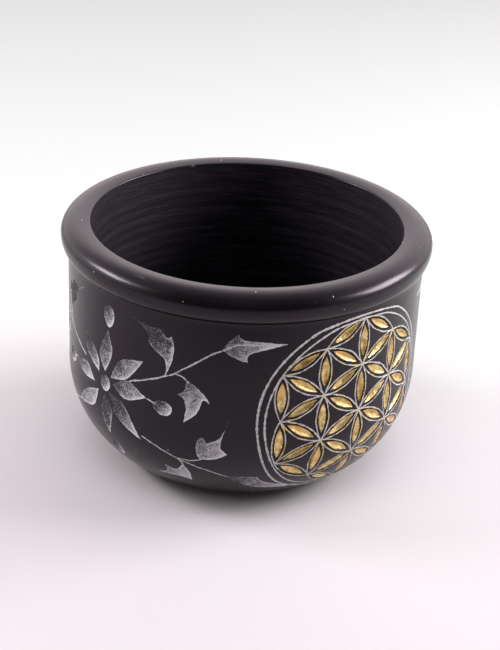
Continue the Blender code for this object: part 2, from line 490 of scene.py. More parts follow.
def frostShape(centre, outline, seed, tone=0.0):
    # a shallow stippled hollow inside a closed outline, in the motif's own millimetres
    f = frosting
    xs, ys = [p[0] for p in outline], [p[1] for p in outline]
    middle = ((min(xs) + max(xs)) / 2, (min(ys) + max(ys)) / 2)
    size = max(max(xs) - min(xs), max(ys) - min(ys)) / 2
    edge = nearTree(outline)

    # painted light: each shape is paler on the side towards the light and along its outline, besides its
    # own tone and patches
    def frostAt(x, y, rim):
        turned = ((x - middle[0]) * f["light"][0] + (y - middle[1]) * f["light"][1]) / size
        patch = f["patch"] * handNoise((x, y), f["patchSize"], seed)
        edgePaleAndPaintedLight = (f["rimPaleAndPaintedLight"][0] + f["rimPaleAndPaintedLight"][1] * turned) * rim
        return max(0.05, min(1.0, f["level"] + tone + f["paintedLightShare"] * turned + edgePaleAndPaintedLight + patch))

    points = []
    for x, y in outline:
        ragged = f["ragged"] * handNoise((x * 3, y * 3), 1.0, seed)
        place = onSheet(centre, x + ragged, y - ragged)
        points.append((*place, 0.0, frostAt(x, y, 1.0), 0.0))
    rimCount = len(points)
    shapes.append(([(q[0], q[1]) for q in points], scratched))
    columns = int((max(xs) - min(xs)) / f["pitch"])
    rows = int((max(ys) - min(ys)) / f["pitch"])
    for i in range(columns + 1):
        for j in range(rows + 1):
            strayX = f["stray"] * handNoise((i * 9.1, j * 5.3), 1.0, 3)
            strayY = f["stray"] * handNoise((i * 4.7, j * 8.9), 1.0, 5)
            x = min(xs) + (i + 0.5 * (j % 2)) * f["pitch"] + strayX
            y = min(ys) + j * f["pitch"] + strayY
            distance = edge.find((x, y, 0.0))[2]
            if distance < f["clearance"] or not insideOutline((x, y), outline):
                continue
            rim = max(0.0, 1.0 - distance / f["rimWidth"])
            middling, change = f["pecking"]
            pecked = middling + change * handNoise((x * 4, y * 4), 1.0, seed + 9)
            place = onSheet(centre, x, y)
            points.append((*place, -f["depth"] * pecked, frostAt(x, y, rim), 0.0))
    addMark(points, [list(range(rimCount)) + [0]])


def leafOutline(sides):
    return [place for side in sides for place in smoothPath(side, frosting["outlineStep"])[:-1]]


def budOutline(middle, halfWidth, halfHeight, point):
    outline = []
    for i in range(frosting["budPoints"]):
        turn = 2 * math.pi * i / frosting["budPoints"]
        x, y = math.cos(turn) * halfWidth, math.sin(turn) * halfHeight
        if point:
            toward = (math.cos(turn) * point[0] + math.sin(turn) * point[1]) / math.hypot(*point)
            pull = 1.0 + frosting["budPull"] * max(0.0, toward) ** 4
            x, y = x * pull, y * pull
        outline.append((middle[0] + x, middle[1] + y))
    return outline


def mirrored(points, sense):
    return [(sense * x, y) for x, y in points]


def drawFlower(centre, seed):
    for number, (base, flank, tip, otherFlank, tone) in enumerate(flowerPetals):
        outline = leafOutline([[base, flank, tip], [tip, otherFlank, base]])
        frostShape(centre, outline, seed + number, tone)
    for number, bud in enumerate(flowerBuds):
        frostShape(centre, budOutline(*bud), seed + 20 + number, frosting["budTone"])
    for sense in (1, -1):
        drawStem(centre, mirrored(petalTail, sense), seed)
        for number, stem in enumerate(sprigStems):
            drawStem(centre, mirrored(stem, sense), seed + number)
        for rib in leafRibs:
            drawStem(centre, mirrored(rib, sense), seed + 60, frosting["ribShare"])
        for number, sides in enumerate(sprigLeaves):
            outline = mirrored(leafOutline(sides), sense)
            frostShape(centre, outline, seed + 30 + number, leafTones[number])


def drawStem(centre, points, seed, share=1.0):
    path = [onSheet(centre, x, y) for x, y in smoothPath(points)]
    full = frosting["stemHalfWidth"] * share
    tip, growth = frosting["stemTip"]
    widths = [full * min(1.0, tip + growth * min(i, len(path) - 1 - i)) for i in range(len(path))]
    scribe(path, widths, seed=seed)


for number, centre in enumerate(medallionCentres):
    drawMedallion(centre, 100 + 300 * number)
for number, centre in enumerate(flowerCentres):
    drawFlower(centre, 700 + 100 * number)
print("drawing:", len(marks), "marks")


# The flat sheet: the drawing inside a grid of the whole skin.

sheetPlan = {
    "seam": 163.0,          # where the sheet's two ends meet, at the back
    "band": 66.0,           # the drawn band reaches this far down
    "bandRow": 1.55,
    "clearance": 0.95,      # plain points keep this far from the drawing
    "overlap": 1.0,         # a mark this near to the seam is laid at both ends
    "joinReach": 1e-4,      # points nearer than this are one
    "rowGap": 0.4,          # from the band's end to the first plain row below it
    "cell": 6.0,            # squares in which the outlines are looked up
}


def sheetEnds():
    return sheetPlan["seam"] - circumference, sheetPlan["seam"]


def repeated(xs):
    # the whole turns that bring a mark onto the sheet: two of them where it crosses the seam
    left, right = sheetEnds()
    spare = sheetPlan["overlap"]
    return [
        shift for shift in (-circumference, 0.0, circumference)
        if max(xs) + shift > left - spare and min(xs) + shift < right + spare
    ]


def laidMarks():
    # every mark's points and edges on the sheet
    points, edges = [], []
    for mark in marks:
        for shift in repeated([q[0] for q in mark["points"]]):
            start = len(points)
            points += [(q[0] + shift, *q[1:]) for q in mark["points"]]
            for chain in mark["chains"]:
                edges += [(start + i, start + j) for i, j in zip(chain, chain[1:])]
    return points, edges


def plainPoints(marked):
    # the grid between the marks
    left, right = sheetEnds()
    near = nearTree([q[:2] for q in marked])
    columns, band = potShape["columns"], sheetPlan["band"]
    rows = round(band / sheetPlan["bandRow"])
    found = []
    for column in range(1, columns):
        x = left + circumference * column / columns
        for row in range(1, rows):
            y = band * row / rows
            if near.find((x, y, 0.0))[2] > sheetPlan["clearance"]:
                found.append((x, y, 0.0, 0.0, 0.0))
    return found


def bandBorder():
    # the band's outline, with one point at each column and row
    left, right = sheetEnds()
    columns, band = potShape["columns"], sheetPlan["band"]
    rows = round(band / sheetPlan["bandRow"])
    top = [(left + circumference * i / columns, 0.0) for i in range(columns)]
    rightSide = [(right, band * i / rows) for i in range(rows)]
    bottom = [(right - circumference * i / columns, band) for i in range(columns)]
    leftSide = [(left, band - band * i / rows) for i in range(rows)]
    return [(x, y, 0.0, 0.0, 0.0) for x, y in top + rightSide + bottom + leftSide]


def grooveTree():
    # every short stretch of every scribed line, by its middle
    stretches = []
    for path, widths in grooves:
        for shift in repeated([q[0] for q in path]):
            for p, q, w, v in zip(path, path[1:], widths, widths[1:]):
                stretches.append((p[0] + shift, p[1], q[0] - p[0], q[1] - p[1], w, v - w))
    return nearTree([(x + dx / 2, y + dy / 2) for x, y, dx, dy, w, dw in stretches]), stretches


def grooveDepth(x, y, tree, stretches):
    deepest = 0.0
    reach = scribing["step"]
    for co, i, distance in tree.find_range((x, y, 0.0), reach):
        px, py, dx, dy, w, dw = stretches[i]
        length = max(dx * dx + dy * dy, 1e-9)
        along = max(0.0, min(1.0, ((x - px) * dx + (y - py) * dy) / length))
        away = math.hypot(x - px - dx * along, y - py - dy * along)
        width = w + dw * along
        full = scribing["depth"] * min(1.0, width / scribing["fullWidth"])
        deepest = max(deepest, full * (1.0 - away / width))
    return deepest


def shapeCells():
    # the closed outlines, listed under each square that they touch
    cells = {}
    side = sheetPlan["cell"]
    for outline, finish in shapes:
        for shift in repeated([q[0] for q in outline]):
            moved = [(x + shift, y) for x, y in outline]
            xs, ys = [q[0] for q in moved], [q[1] for q in moved]
            for i in range(math.floor(min(xs) / side), math.floor(max(xs) / side) + 1):
                for j in range(math.floor(min(ys) / side), math.floor(max(ys) / side) + 1):
                    cells.setdefault((i, j), []).append((moved, finish))
    return cells


def drawnBand():
    # triangles of the band, with the marks' edges kept
    marked, edges = laidMarks()
    plain = plainPoints(marked)
    border = bandBorder()
    start = len(marked) + len(plain)
    corners = list(range(start, start + len(border)))
    edges += list(zip(corners, corners[1:] + corners[:1]))
    points = marked + plain + border
    verts, _, faces, sources, _, _ = delaunay_2d_cdt(
        [Vector(q[:2]) for q in points], edges, [], 0, sheetPlan["joinReach"], True)
    left, right = sheetEnds()
    tree, stretches = grooveTree()
    cells, side = shapeCells(), sheetPlan["cell"]
    kept, finishes = [], []
    for corners in faces:
        x = sum(verts[i].x for i in corners) / len(corners)
        y = sum(verts[i].y for i in corners) / len(corners)
        if not (left < x < right and 0.0 < y < sheetPlan["band"]):
            continue
        finish = burnished
        for outline, own in cells.get((math.floor(x / side), math.floor(y / side)), []):
            if own > finish and insideOutline((x, y), outline):
                finish = own
        if finish == burnished and grooveDepth(x, y, tree, stretches) > 0.0:
            finish = scratched
        kept.append(corners)
        finishes.append(finish)
    lifts, frostAndPaintedLight, gilt = [], [], []
    for vert, found in zip(verts, sources):
        own = [points[i] for i in found]
        depth = grooveDepth(vert.x, vert.y, tree, stretches)
        lifts.append(min([q[2] for q in own] + [-depth]))
        frostAndPaintedLight.append(max([q[3] for q in own], default=scribing["frostAndPaintedLight"]))
        gilt.append(max([q[4] for q in own], default=0.3))
    used = sorted({i for corners in kept for i in corners})
    renumbered = {old: new for new, old in enumerate(used)}
    kept = [[renumbered[i] for i in corners] for corners in kept]
    places = [(verts[i].x, verts[i].y) for i in used]
    return places, *([values[i] for i in used] for values in (lifts, frostAndPaintedLight, gilt)), kept, finishes


def flatSkin():
    # the whole skin as flat quads and triangles: x round the pot, y along the section, z the lift
    places, lifts, frostAndPaintedLight, gilt, faces, finishes = drawnBand()
    points = [(x, neckRun + y, lift) for (x, y), lift in zip(places, lifts)]
    columns = potShape["columns"]
    left = sheetEnds()[0]
    bandEnd = neckRun + sheetPlan["band"]
    above = sectionRuns[:neckIndex] + [neckRun]
    below = [bandEnd] + [run for run in sectionRuns if run > bandEnd + sheetPlan["rowGap"]]
    for runs in (above, below):
        start = len(points)
        for run in runs:
            for column in range(columns + 1):
                points.append((left + circumference * column / columns, run, 0.0))
                frostAndPaintedLight.append(0.0)
                gilt.append(0.0)
        for row in range(len(runs) - 1):
            finish = inside if runs is above and row < insideCount - 1 else burnished
            for column in range(columns):
                corner = start + row * (columns + 1) + column
                faces.append([corner, corner + 1, corner + columns + 2, corner + columns + 1])
                finishes.append(finish)
    mesh = bpy.data.meshes.new("pot_skin")
    mesh.from_pydata([(x * mm, y * mm, z * mm) for x, y, z in points], [], faces)
    for name, values in (("frostAndPaintedLight", frostAndPaintedLight), ("gilt", gilt)):
        mesh.attributes.new(name, "FLOAT", "POINT").data.foreach_set("value", values)
    mesh.attributes.new("finish", "INT", "FACE").data.foreach_set("value", finishes)
    return mesh


skinMesh = flatSkin()
print("flat sheet:", len(skinMesh.vertices), "points,", len(skinMesh.polygons), "faces")


# Node trees that turn the sheet into the pot.

def newGroup(name, kind, inputs, outputs):
    # a node group with the named sockets, what it is given, and where its results go
    group = bpy.data.node_groups.new(name, kind)
    for way, sockets in (("INPUT", inputs), ("OUTPUT", outputs)):
        for socketName, socketType, *default in sockets:
            socket = group.interface.new_socket(
                socketName, in_out=way, socket_type="NodeSocket" + socketType)
            if default:
                socket.default_value = default[0]
    return group, group.nodes.new("NodeGroupInput").outputs, group.nodes.new("NodeGroupOutput").inputs


def place(tree, kind, inputs=None, **settings):
    # a node with its settings, and its inputs linked or set by name or number
    node = tree.nodes.new(kind)
    for key, value in settings.items():
        setattr(node, key, value)
    for key, value in (inputs or {}).items():
        if isinstance(value, bpy.types.NodeSocket):
            tree.links.new(value, node.inputs[key])
        else:
            node.inputs[key].default_value = value
    return node


def maths(tree, operation, *values):
    return place(tree, "ShaderNodeMath", dict(enumerate(values)), operation=operation).outputs[0]


def product(tree, first, second):
    return maths(tree, "MULTIPLY", first, second)


def vectorMaths(tree, operation, *values, output="Vector"):
    node = place(tree, "ShaderNodeVectorMath", dict(enumerate(values)), operation=operation)
    return node.outputs[output]


def apart(tree, vector):
    # the x, y and z of a vector
    return place(tree, "ShaderNodeSeparateXYZ", {0: vector}).outputs


def together(tree, x, y, z):
    return place(tree, "ShaderNodeCombineXYZ", {0: x, 1: y, 2: z}).outputs[0]


def between(tree, share, first, second):
    return place(tree, "ShaderNodeMix", {0: share, 2: first, 3: second}, data_type="FLOAT").outputs[0]


def blend(tree, share, first, second):
    # a colour between two
    return place(tree, "ShaderNodeMix", {0: share, 6: first, 7: second}, data_type="RGBA").outputs[2]


def stretch(tree, value, low, high, toLow=0.0, toHigh=1.0, **settings):
    return place(tree, "ShaderNodeMapRange", {
        "Value": value, "From Min": low, "From Max": high, "To Min": toLow, "To Max": toHigh},
        **settings).outputs[0]


def cloud(tree, spot, scale, detail, roughness=0.5):
    return place(tree, "ShaderNodeTexNoise", {
        "Vector": spot, "Scale": scale, "Detail": detail, "Roughness": roughness}).outputs[0]


def onGeometry(tree, kind, geometry, inputs=None, **settings):
    # a node that works on a geometry, which is its first input and its first output
    return place(tree, "GeometryNode" + kind, {0: geometry, **(inputs or {})}, **settings).outputs[0]


def store(tree, geometry, name, value, kind, domain):
    return onGeometry(tree, "StoreNamedAttribute", geometry, {"Name": name, "Value": value},
                      data_type=kind, domain=domain)


def wrapOnPot():
    # flat (x round the pot, y along the section, z lift) to a place on the turned surface
    tree, given, result = newGroup("wrapOnPot", "GeometryNodeTree", [
        ("Geometry", "Geometry"),
        ("Section", "Geometry"),
        ("Wall Radius", "Float", 0.05),
        ("Centre Bearing", "Float", 0.0),
        ("True Width", "Float", 0.0),
    ], [("Geometry", "Geometry")])
    across, along, lift = apart(tree, place(tree, "GeometryNodeInputPosition").outputs[0])
    ring = place(tree, "GeometryNodeSampleCurve", {"Curves": given["Section"], "Length": along},
                 mode="LENGTH", use_all_curves=True)
    onSection = apart(tree, ring.outputs["Position"])
    tangent = apart(tree, ring.outputs["Tangent"])
    outward = product(tree, tangent[2], -1.0)
    radius = maths(tree, "MULTIPLY_ADD", outward, lift, onSection[0])
    height = maths(tree, "MULTIPLY_ADD", tangent[0], lift, onSection[2])
    local = between(tree, given["True Width"], given["Wall Radius"], onSection[0])
    turn = maths(tree, "ADD", maths(tree, "DIVIDE", across, local), given["Centre Bearing"])
    sine, cosine = maths(tree, "SINE", turn), maths(tree, "COSINE", turn)
    backward = product(tree, cosine, -1.0)
    spot, facing = (
        together(tree, product(tree, reach, sine), product(tree, reach, backward), level)
        for reach, level in ((radius, height), (outward, tangent[0])))
    marked = store(tree, given["Geometry"], "facing", facing, "FLOAT_VECTOR", "POINT")
    tree.links.new(onGeometry(tree, "SetPosition", marked, {"Position": spot}), result[0])
    return tree


def laidOnPot(tree, given, geometry, wrap, inputs=None):
    # a flat geometry wrapped on the pot's section
    curve = place(tree, "GeometryNodeObjectInfo", {"Object": given["Section Curve"]})
    return onGeometry(tree, "Group", geometry, {
        "Section": curve.outputs["Geometry"], "Wall Radius": given["Wall Radius"], **(inputs or {})},
        node_tree=wrap)


def setFinishes(tree, geometry, materials):
    # each face takes the material of its finish
    finish = place(tree, "GeometryNodeInputNamedAttribute", {"Name": "finish"}, data_type="INT")
    for number, material in enumerate(materials):
        chosen = place(tree, "FunctionNodeCompare", {2: finish.outputs["Attribute"], 3: number},
                       data_type="INT", operation="EQUAL").outputs[0]
        geometry = onGeometry(tree, "SetMaterial", geometry, {"Selection": chosen, "Material": material})
    return geometry


def thrownPot(wrap, materials):
    tree, given, result = newGroup("thrownPot", "GeometryNodeTree", [
        ("Geometry", "Geometry"),
        ("Section Curve", "Object"),
        ("Wall Radius", "Float", 0.05),
        ("Seam Reach", "Float", 0.000002),
    ], [("Geometry", "Geometry")])
    turned = laidOnPot(tree, given, given["Geometry"], wrap)
    closed = onGeometry(tree, "MergeByDistance", turned, {"Distance": given["Seam Reach"]})
    real = onGeometry(tree, "RealizeInstances", onGeometry(tree, "FlipFaces", closed))
    tree.links.new(setFinishes(tree, real, materials), result[0])
    return tree


goldWork = {
    "Petal Length": 4.95 * mm,      # half of it
    "Petal Width": 1.27 * mm,       # half of it
    "Tip Width": 0.07,
    "Groove Depth": 0.78 * mm,
    "Groove Curve": 1.25,           # 1 is a plain V
    "Sunk": 0.10 * mm,
    "Thickness": 0.24 * mm,
    "Smallest": (0.95, 0.88, 0.9),
    "Largest": (1.03, 1.08, 1.05),
    "Hammering": 750.0,
    "Unevenness": 0.10 * mm,
    "Seed": 4,
}


socketKinds = {float: "Float", int: "Int", tuple: "Vector"}


def gildedMedallion(wrap):
    # one gilded petal in the middle of each edge of the lattice, wrapped on the wall
    tree, given, result = newGroup("gildedMedallion", "GeometryNodeTree", [
        ("Geometry", "Geometry"),
        ("Section Curve", "Object"),
        ("Wall Radius", "Float", 0.05),
        ("Centre Bearing", "Float", 0.0),
        ("Material", "Material"),
        *((name, socketKinds[type(value)], value) for name, value in goldWork.items()),
    ], [("Geometry", "Geometry")])

    ends = place(tree, "GeometryNodeInputMeshEdgeVertices").outputs
    way = vectorMaths(tree, "SUBTRACT", ends["Position 2"], ends["Position 1"])
    withWay = store(tree, given["Geometry"], "way", way, "FLOAT_VECTOR", "EDGE")
    middles = onGeometry(tree, "MeshToPoints", withWay, mode="EDGES")

    block = place(tree, "GeometryNodeMeshCube", {
        "Size": (2.0, 2.0, 2.0), "Vertices X": 19, "Vertices Y": 9, "Vertices Z": 2}).outputs["Mesh"]
    along, side, level = apart(tree, place(tree, "GeometryNodeInputPosition").outputs[0])
    fromMiddle = maths(tree, "ABSOLUTE", side)
    taper = maths(tree, "SUBTRACT", 1.0, product(tree, along, along))
    share = maths(tree, "MAXIMUM", taper, given["Tip Width"])
    slope = maths(tree, "SUBTRACT", 1.0, maths(tree, "POWER", fromMiddle, given["Groove Curve"]))
    groove = product(tree, product(tree, slope, share), given["Groove Depth"])
    under = product(tree, maths(tree, "LESS_THAN", level, 0.0), given["Thickness"])
    lift = maths(tree, "ADD", maths(tree, "ADD", groove, under), given["Sunk"])
    shaped = together(
        tree, product(tree, along, given["Petal Length"]),
        product(tree, product(tree, side, share), given["Petal Width"]), product(tree, lift, -1.0))
    # how near a point is to the petal's edge, where the gold is thin
    edgeward = maths(tree, "MAXIMUM", fromMiddle, maths(tree, "ABSOLUTE", along))
    edged = store(tree, block, "edgeward", edgeward, "FLOAT", "POINT")
    petal = onGeometry(tree, "SetPosition", edged, {"Position": shaped})

    wayHere = place(tree, "GeometryNodeInputNamedAttribute", {"Name": "way"}, data_type="FLOAT_VECTOR")
    heading = place(tree, "FunctionNodeAlignRotationToVector", {
        "Vector": wayHere.outputs["Attribute"]}, axis="X", pivot_axis="Z").outputs[0]
    size = place(tree, "FunctionNodeRandomValue", {
        0: given["Smallest"], 1: given["Largest"], "Seed": given["Seed"]},
        data_type="FLOAT_VECTOR").outputs[0]
    laid = onGeometry(tree, "InstanceOnPoints", middles, {
        "Instance": petal, "Rotation": heading, "Scale": size})
    real = onGeometry(tree, "RealizeInstances", laid)

    here = place(tree, "GeometryNodeInputPosition").outputs[0]
    hammered = maths(tree, "SUBTRACT", cloud(tree, here, given["Hammering"], 2.0), 0.5)
    rise = together(tree, 0.0, 0.0, product(tree, hammered, given["Unevenness"]))
    uneven = onGeometry(tree, "SetPosition", real, {"Offset": rise})

    turned = laidOnPot(tree, given, uneven, wrap, {
        "Centre Bearing": given["Centre Bearing"], "True Width": 1.0})
    smooth = onGeometry(tree, "SetShadeSmooth", onGeometry(tree, "FlipFaces", turned))
    joined = onGeometry(tree, "RealizeInstances", smooth)
    gilded = onGeometry(tree, "SetMaterial", joined, {"Material": given["Material"]})
    tree.links.new(gilded, result[0])
    return tree


def newObject(name, data):
    made = bpy.data.objects.new(name, data)
    bpy.context.scene.collection.objects.link(made)
    return made


def sectionCurve():
    curve = bpy.data.curves.new("sectionCurve", "CURVE")
    curve.dimensions = "3D"
    spline = curve.splines.new("POLY")
    spline.points.add(len(sectionPoints) - 1)
    for point, (radius, height) in zip(spline.points, sectionPoints):
        point.co = (radius * mm, 0.0, height * mm, 1.0)
    return newObject("sectionCurve", curve)


def grown(name, mesh, tree, values):
    # the plain mesh that a tree makes of a mesh, with the tree's inputs set by identifier
    seed = newObject(name + "_flat", mesh)
    modifier = seed.modifiers.new("grow", "NODES")
    modifier.node_group = tree
    for item in tree.interface.items_tree:
        if item.in_out == "INPUT" and item.name in values:
            modifier[item.identifier] = values[item.name]
    evaluated = seed.evaluated_get(bpy.context.evaluated_depsgraph_get())
    plain = bpy.data.meshes.new_from_object(evaluated)
    plain.name = name
    bpy.data.objects.remove(seed)
    return newObject(name, plain)


# Finishes.

dustLook = {
    "cell": 620.0,           # cells to a metre, with one chance of a speck in each
    "size": 0.10,
    "rim": (0.064, 0.070),   # heights between which the rim's share takes over
    "wallShare": 0.06,
    "color": (0.55, 0.53, 0.55, 1.0),
}


def clayGrainGroup():
    # the fired clay under every finish: slow tone, fine grain, and a few pale specks of dust
    group, given, result = newGroup("clayGrain", "ShaderNodeTree", [
        ("Position", "Vector"),
        ("Dark", "Color", (0.012, 0.010, 0.012, 1.0)),
        ("Light", "Color", (0.024, 0.021, 0.024, 1.0)),
        ("Grain Size", "Float", 0.0006),
        ("Dust", "Float", 0.0),
    ], [("Color", "Color"), ("Tone", "Float"), ("Grain", "Float")])
    spot, dust = given["Position"], dustLook
    tone = stretch(group, cloud(group, spot, 38.0, 4.0), 0.3, 0.7)
    fine = cloud(group, spot, maths(group, "DIVIDE", 1.0, given["Grain Size"]), 3.0)
    colour = blend(group, tone, given["Dark"], given["Light"])
    cells = place(group, "ShaderNodeTexVoronoi", {"Vector": spot, "Scale": dust["cell"]}).outputs
    specks = maths(group, "LESS_THAN", cells["Distance"], dust["size"])
    chance = apart(group, cells["Color"])[0]
    share = stretch(group, apart(group, spot)[2], *dust["rim"], dust["wallShare"], 1.0)
    few = maths(group, "LESS_THAN", chance, product(group, share, given["Dust"]))
    dusty = blend(group, product(group, specks, few), colour, dust["color"])
    for name, value in (("Color", dusty), ("Tone", tone), ("Grain", fine)):
        group.links.new(value, result[name])
    return group


def wheelLinesGroup():
    # level streaks that go round the pot, as a brush or a turning tool leaves them
    group, given, result = newGroup("wheelLines", "ShaderNodeTree", [
        ("Position", "Vector"),
        ("Line Height", "Float", 0.0012),
        ("Breaks", "Float", 12.0),
    ], [("Streak", "Float")])
    x, y, z = apart(group, given["Position"])
    turn = maths(group, "ARCTAN2", x, y)
    away = maths(group, "SQRT", maths(group, "ADD", product(group, x, x), product(group, y, y)))
    # sine and cosine of the bearing keep the streaks whole all the way round
    loop = [product(group, maths(group, wave, turn), product(group, given["Breaks"], 0.1))
            for wave in ("SINE", "COSINE")]
    stacked = maths(group, "SUBTRACT", z, product(group, away, 0.35))
    flow = together(group, *loop, maths(group, "DIVIDE", stacked, given["Line Height"]))
    lines = cloud(group, flow, 1.0, 5.0, 0.65)
    group.links.new(stretch(group, lines, 0.32, 0.68), result["Streak"])
    return group


def handScratchGroup():
    # short scratches and pecks of a hand-held point
    group, given, result = newGroup("handScratches", "ShaderNodeTree", [
        ("Position", "Vector"),
        ("Size", "Float", 0.0006),
        ("Cover", "Float", 0.6),
        ("Softness", "Float", 0.18),
    ], [("Mask", "Float"), ("Height", "Float")])
    pecks = cloud(group, given["Position"], maths(group, "DIVIDE", 1.0, given["Size"]), 2.5, 0.6)
    level = stretch(group, pecks, 0.28, 0.72)
    raised = maths(group, "SUBTRACT", level, maths(group, "SUBTRACT", 1.0, given["Cover"]))
    mask = maths(group, "ADD", maths(group, "DIVIDE", raised, given["Softness"]), 0.5)
    group.links.new(place(group, "ShaderNodeClamp", {0: mask}).outputs[0], result["Mask"])
    group.links.new(level, result["Height"])
    return group


def rimNicksGroup():
    # a short scratch along the top of the rim, and a chip in its inner edge
    group, given, result = newGroup("rimNicks", "ShaderNodeTree", [
        ("Position", "Vector"),
        ("Scratch Middle", "Vector", (-0.0286, -0.0432, 0.0749)),
        ("Scratch Length", "Float", 0.0036),
        ("Scratch Half Width", "Float", 0.00010),
        ("Chip Middle", "Vector", (-0.0184, 0.0425, 0.0744)),
        ("Chip Width", "Float", 0.0014),
    ], [("Mask", "Float")])
    spot = given["Position"]

    def nearer(middle, reach):
        away = vectorMaths(group, "DISTANCE", spot, given[middle], output="Value")
        return maths(group, "LESS_THAN", away, reach)

    def awayFromAxis(vector):
        flat = vectorMaths(group, "MULTIPLY", vector, (1.0, 1.0, 0.0))
        return vectorMaths(group, "LENGTH", flat, output="Value")

    uneven = cloud(group, spot, 2400.0, 2.0)
    stray = maths(group, "SUBTRACT", awayFromAxis(spot), awayFromAxis(given["Scratch Middle"]))
    bent = maths(group, "MULTIPLY_ADD", maths(group, "SUBTRACT", uneven, 0.5), 0.0009, stray)
    thin = maths(group, "LESS_THAN", maths(group, "ABSOLUTE", bent), given["Scratch Half Width"])
    reach = product(group, given["Scratch Length"], 0.5)
    scratch = product(group, thin, nearer("Scratch Middle", reach))
    chip = nearer("Chip Middle", product(group, given["Chip Width"], uneven))
    group.links.new(maths(group, "MAXIMUM", scratch, chip), result["Mask"])
    return group


clayGrain = clayGrainGroup()
rimNicks = rimNicksGroup()
wheelLines = wheelLinesGroup()
handScratches = handScratchGroup()


def newMaterial(name, values):
    # a material with its Principled shader's plain values set, and the Object coordinates
    material = bpy.data.materials.new(name)
    material.use_nodes = True
    tree = material.node_tree
    shader = tree.nodes["Principled BSDF"]
    for key, value in values.items():
        shader.inputs[key].default_value = value
    return material, tree, shader, place(tree, "ShaderNodeTexCoord").outputs["Object"]


def useGroup(tree, group, values):
    return place(tree, "ShaderNodeGroup", values, node_tree=group).outputs


def painted(tree, name):
    # a number that the mesh carries at each point
    return place(tree, "ShaderNodeAttribute", attribute_name=name).outputs["Fac"]


def bumped(tree, shader, height, strength, distance):
    bump = place(tree, "ShaderNodeBump", {"Height": height, "Strength": strength, "Distance": distance})
    tree.links.new(bump.outputs[0], shader.inputs["Normal"])


burnishedLook = {
    "dark": (0.0028, 0.0023, 0.0029, 1.0),
    "light": (0.0052, 0.0043, 0.0052, 1.0),
    "roughness": (0.20, 0.31),
    "dust": 0.09,
    "chipped": (0.055, 0.050, 0.054, 1.0),
    "lines": {"Line Height": 0.0016, "Breaks": 14.0},
    "bump": (0.06, 0.00010),     # strength and depth
}


def burnishedClay():
    material, tree, shader, spot = newMaterial("burnishedClay", {
        "IOR": 1.5, "Specular IOR Level": 0.28, "Specular Tint": (1.0, 0.86, 0.96, 1.0)})
    look = burnishedLook
    grain = useGroup(tree, clayGrain, {
        "Position": spot, "Dark": look["dark"], "Light": look["light"], "Dust": look["dust"]})
    streak = useGroup(tree, wheelLines, {"Position": spot, **look["lines"]})["Streak"]
    nicks = useGroup(tree, rimNicks, {"Position": spot})["Mask"]
    clay = blend(tree, nicks, grain["Color"], look["chipped"])
    tree.links.new(clay, shader.inputs["Base Color"])
    worn = maths(tree, "MULTIPLY_ADD", streak, 0.12, product(tree, grain["Tone"], 0.75))
    tree.links.new(stretch(tree, worn, 0.0, 1.0, *look["roughness"]), shader.inputs["Roughness"])
    height = maths(tree, "MULTIPLY_ADD", grain["Grain"], 0.7, product(tree, streak, 0.3))
    bumped(tree, shader, height, *look["bump"])
    return material


scratchedLook = {
    "bare": (0.014, 0.012, 0.014, 1.0),
    "grey": (0.21, 0.20, 0.215, 1.0),
    "pale": (0.62, 0.60, 0.63, 1.0),
    "gold": (0.70, 0.52, 0.19, 1.0),
    "pecks": {"Size": 0.00031, "Softness": 0.42},
    "cover": (0.24, 0.96),       # of the pecks, where the frost and painted light are least and most
    "spill": (0.46, 0.6),        # between these levels of the patches the gold begins
    "bump": (0.5, 0.00015),
}


def scratchedClay():
    material, tree, shader, spot = newMaterial("scratchedClay", {
        "Roughness": 0.8, "Specular IOR Level": 0.3})
    look = scratchedLook
    frostAndPaintedLight, gilt = painted(tree, "frostAndPaintedLight"), painted(tree, "gilt")
    cover = stretch(tree, frostAndPaintedLight, 0.0, 1.0, *look["cover"])
    marks = useGroup(tree, handScratches, {"Position": spot, "Cover": cover, **look["pecks"]})
    # the chalk is paler where the frost is high, and the frost carries the shapes' painted light
    chalk = blend(tree, frostAndPaintedLight, look["grey"], look["pale"])
    spilled = product(tree, stretch(tree, cloud(tree, spot, 420.0, 2.0), *look["spill"]), gilt)
    tinted = blend(tree, spilled, chalk, look["gold"])
    tree.links.new(blend(tree, marks["Mask"], look["bare"], tinted), shader.inputs["Base Color"])
    bumped(tree, shader, marks["Height"], *look["bump"])
    return material


cutLook = {
    "dark": (0.005, 0.0045, 0.005, 1.0),
    "light": (0.011, 0.010, 0.011, 1.0),
    "bump": (0.3, 0.0001),
}


def cutClay():
    # the bare walls of the carved pockets
    material, tree, shader, spot = newMaterial("cutClay", {
        "Roughness": 0.62, "Specular IOR Level": 0.25})
    look = cutLook
    grain = useGroup(tree, clayGrain, {"Position": spot, "Dark": look["dark"], "Light": look["light"]})
    tree.links.new(grain["Color"], shader.inputs["Base Color"])
    bumped(tree, shader, grain["Grain"], *look["bump"])
    return material


insideLook = {
    "dark": (0.0004, 0.0003, 0.0006, 1.0),
    "light": (0.0018, 0.0015, 0.0024, 1.0),
    "streak": (0.0090, 0.0076, 0.0112, 1.0),
    "lines": {"Line Height": 0.0007, "Breaks": 45.0},
    "paintedShadeFade": (0.026, 0.060),   # painted shade: the pale streaks fade out below these heights, so the inside is darker towards the bottom
    # the share of the streaks left at the bottom, under the painted shade
    "floorShare": 0.06,
    "bump": (0.35, 0.0002),
}


